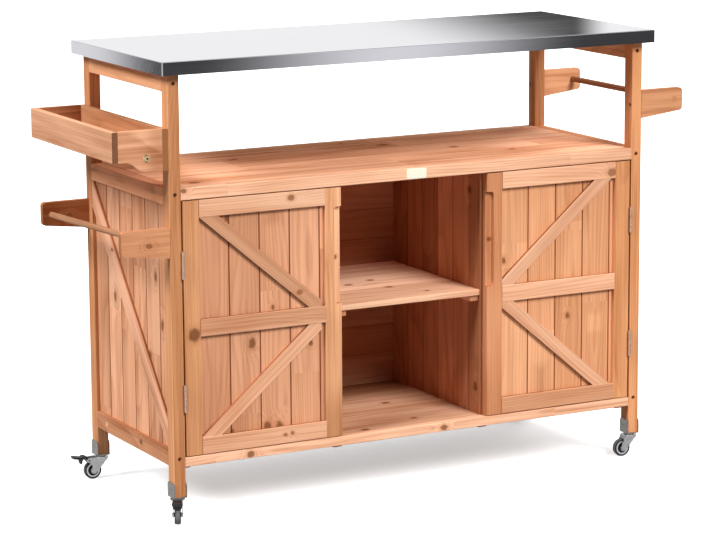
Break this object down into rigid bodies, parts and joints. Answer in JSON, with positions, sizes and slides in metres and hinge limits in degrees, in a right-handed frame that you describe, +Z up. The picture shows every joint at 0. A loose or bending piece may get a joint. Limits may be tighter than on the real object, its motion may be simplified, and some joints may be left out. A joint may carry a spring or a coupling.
{
  "type": "rolling kitchen island",
  "caption": "Wooden outdoor kitchen island on casters: folded steel top on posts, worktop, plank doors beside an open shelf bay, spice tray and towel bars.",
  "frame": {"origin": "on the floor, under the middle of the whole outline, tray, towel arms and front brake pedal included", "axes": "+X along the front from the tray end to the other end, +Y from the doors to the back, +Z up"},
  "size_m": [1.327, 0.488, 0.93],
  "materials": {
    "post_wood": "oiled softwood, warm orange brown",
    "rail_wood": "oiled softwood, warm orange brown",
    "stile_wood": "oiled softwood, warm orange brown",
    "plank_wood": "oiled softwood planks with eased edges",
    "deck_wood": "oiled softwood boards",
    "tray_wood": "oiled softwood, warm orange brown",
    "core_board": "raw chipboard",
    "top_steel": "brushed stainless sheet, folded edges",
    "bolt_chrome": "polished dome head",
    "screw_steel": "dark zinc",
    "hinge_steel": "zinc plated",
    "caster_steel": "bright zinc plated sheet",
    "wheel_rubber": "dark grey tyre, lighter hub",
    "pedal_plastic": "black moulded",
    "catch_plastic": "off-white moulded"
  },
  "bodies": {
    "cabinet": {"post_front_left": "post_wood", "post_front_right": "post_wood", "post_rear_left": "post_wood", "post_rear_right": "post_wood", "steel_top": "top_steel", "top_core": "core_board", "upper_rails": "rail_wood", "side_top_rails": "rail_wood", "side_bottom_rails": "rail_wood", "side_planks": "plank_wood", "side_braces": "rail_wood", "worktop_front_rail": "rail_wood", "worktop_boards": "deck_wood", "floor_front_rail": "rail_wood", "floor_boards": "deck_wood", "rear_rails": "rail_wood", "deck_battens": "deck_wood", "back_boards": "plank_wood", "partitions": "plank_wood", "shelf_boards": "deck_wood", "shelf_cleats": "deck_wood", "tray_inner_board": "tray_wood", "tray_outer_board": "tray_wood", "tray_ends": "tray_wood", "tray_bottom": "tray_wood", "tray_bolts": "bolt_chrome", "towel_arms": "tray_wood", "towel_rods": "tray_wood", "frame_screws": "screw_steel", "short_screws": "screw_steel", "door_catches": "catch_plastic", "hinge_post_leaves": "hinge_steel", "hinge_pins": "hinge_steel", "caster_brackets": "caster_steel"},
    "door_left": {"door_left_hinge_stile": "stile_wood", "door_left_pull_stile": "stile_wood", "door_left_rails": "rail_wood", "door_left_planks": "plank_wood", "door_left_braces": "rail_wood", "door_left_hinge_leaves": "hinge_steel", "door_left_screws": "screw_steel", "door_left_strike": "hinge_steel"},
    "door_right": {"door_right_hinge_stile": "stile_wood", "door_right_pull_stile": "stile_wood", "door_right_rails": "rail_wood", "door_right_planks": "plank_wood", "door_right_braces": "rail_wood", "door_right_hinge_leaves": "hinge_steel", "door_right_screws": "screw_steel", "door_right_strike": "hinge_steel"},
    "swivel_front_left": {"caster_front_left_fork": "caster_steel"},
    "wheel_front_left": {"caster_front_left_wheel": "wheel_rubber"},
    "brake_front_left": {"caster_front_left_pedal": "pedal_plastic"},
    "swivel_rear_left": {"caster_rear_left_fork": "caster_steel"},
    "wheel_rear_left": {"caster_rear_left_wheel": "wheel_rubber"},
    "brake_rear_left": {"caster_rear_left_pedal": "pedal_plastic"},
    "swivel_front_right": {"caster_front_right_fork": "caster_steel"},
    "wheel_front_right": {"caster_front_right_wheel": "wheel_rubber"},
    "swivel_rear_right": {"caster_rear_right_fork": "caster_steel"},
    "wheel_rear_right": {"caster_rear_right_wheel": "wheel_rubber"}
  },
  "joints": [
    {"name": "door_left_swing", "type": "hinge", "parent": "cabinet", "child": "door_left", "pos_m": [-0.5185, -0.19897, 0.39275], "axis": [0, 0, -1], "range_deg": [0, 165]},
    {"name": "door_right_swing", "type": "hinge", "parent": "cabinet", "child": "door_right", "pos_m": [0.5335, -0.19897, 0.39275], "axis": [0, 0, 1], "range_deg": [0, 165]},
    {"name": "front_left_swivel", "type": "hinge", "parent": "cabinet", "child": "swivel_front_left", "pos_m": [-0.532, -0.18097, 0.046], "axis": [0, 0, 1], "continuous": true},
    {"name": "front_left_roll", "type": "hinge", "parent": "swivel_front_left", "child": "wheel_front_left", "pos_m": [-0.54045, -0.1991, 0.019], "axis": [-0.9063, 0.4226, 0], "continuous": true},
    {"name": "front_left_brake", "type": "hinge", "parent": "swivel_front_left", "child": "brake_front_left", "pos_m": [-0.5451, -0.20907, 0.042], "axis": [0.9063, -0.4226, 0], "range_deg": [0, 25]},
    {"name": "rear_left_swivel", "type": "hinge", "parent": "cabinet", "child": "swivel_rear_left", "pos_m": [-0.532, 0.21003, 0.046], "axis": [0, 0, 1], "continuous": true},
    {"name": "rear_left_roll", "type": "hinge", "parent": "swivel_rear_left", "child": "wheel_rear_left", "pos_m": [-0.552, 0.21003, 0.019], "axis": [0, 1, 0], "continuous": true},
    {"name": "rear_left_brake", "type": "hinge", "parent": "swivel_rear_left", "child": "brake_rear_left", "pos_m": [-0.563, 0.21003, 0.042], "axis": [0, -1, 0], "range_deg": [0, 25]},
    {"name": "front_right_swivel", "type": "hinge", "parent": "cabinet", "child": "swivel_front_right", "pos_m": [0.547, -0.18097, 0.046], "axis": [0, 0, 1], "continuous": true},
    {"name": "front_right_roll", "type": "hinge", "parent": "swivel_front_right", "child": "wheel_front_right", "pos_m": [0.527, -0.18097, 0.019], "axis": [0, 1, 0], "continuous": true},
    {"name": "rear_right_swivel", "type": "hinge", "parent": "cabinet", "child": "swivel_rear_right", "pos_m": [0.547, 0.21003, 0.046], "axis": [0, 0, 1], "continuous": true},
    {"name": "rear_right_roll", "type": "hinge", "parent": "swivel_rear_right", "child": "wheel_rear_right", "pos_m": [0.527, 0.21003, 0.019], "axis": [0, 1, 0], "continuous": true}
  ]
}
